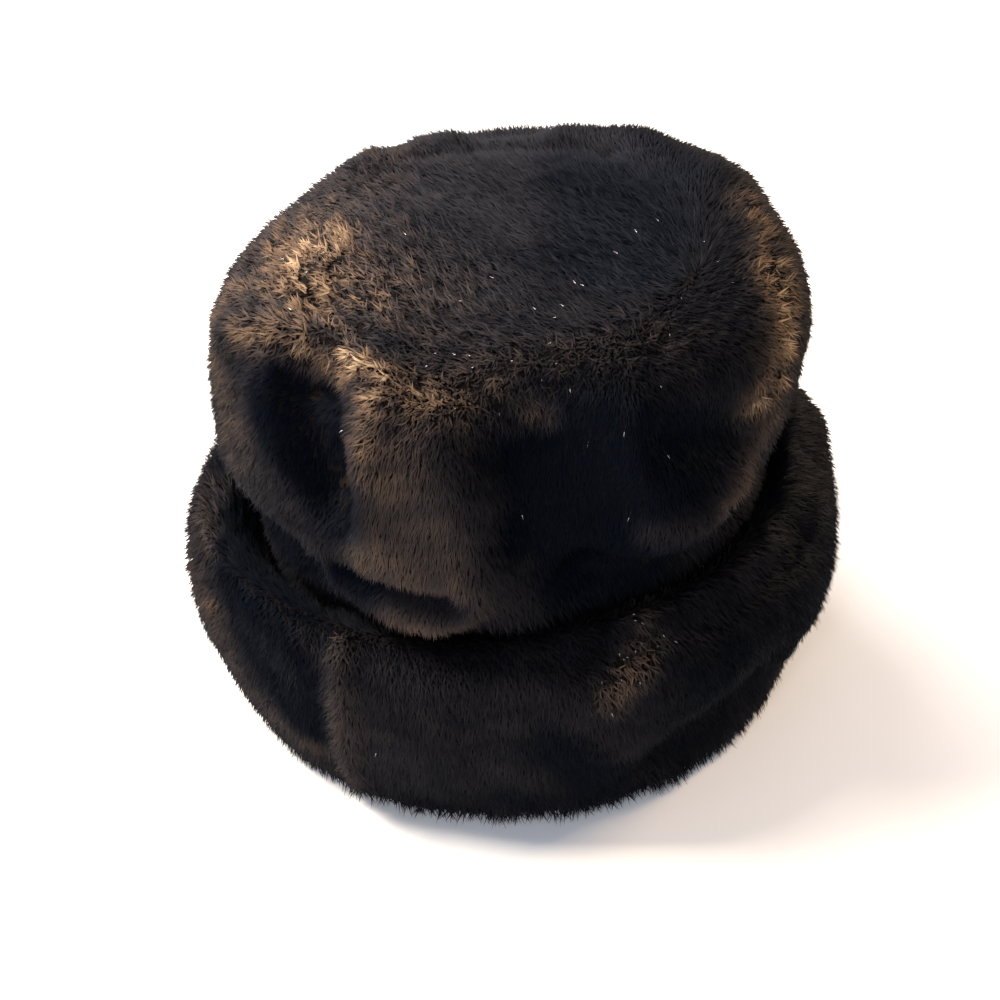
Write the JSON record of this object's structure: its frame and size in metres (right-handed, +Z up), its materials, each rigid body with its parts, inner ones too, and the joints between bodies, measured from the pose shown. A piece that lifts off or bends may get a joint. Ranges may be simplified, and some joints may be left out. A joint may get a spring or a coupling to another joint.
{
  "type": "cossack hat",
  "caption": "Soft dark brown fur hat with a puffed, dented crown that bulges over a thick turned-up fur cuff, open below for the head.",
  "frame": {"origin": "middle of the hat's outline on the surface that its lower rim rests on", "axes": "+Z up through the middle of the crown, -Y towards the front that the picture shows, +X to the right as seen from the front"},
  "size_m": [0.2949, 0.2799, 0.2162],
  "materials": {
    "crown_fur": "sheared plush fur, very dark brown, silky sheen",
    "cuff_fur": "sheared plush fur, very dark brown, silky sheen, ragged at its lower edge"
  },
  "bodies": {
    "root": {"crown": "crown_fur", "cuff": "cuff_fur"}
  },
  "joints": []
}
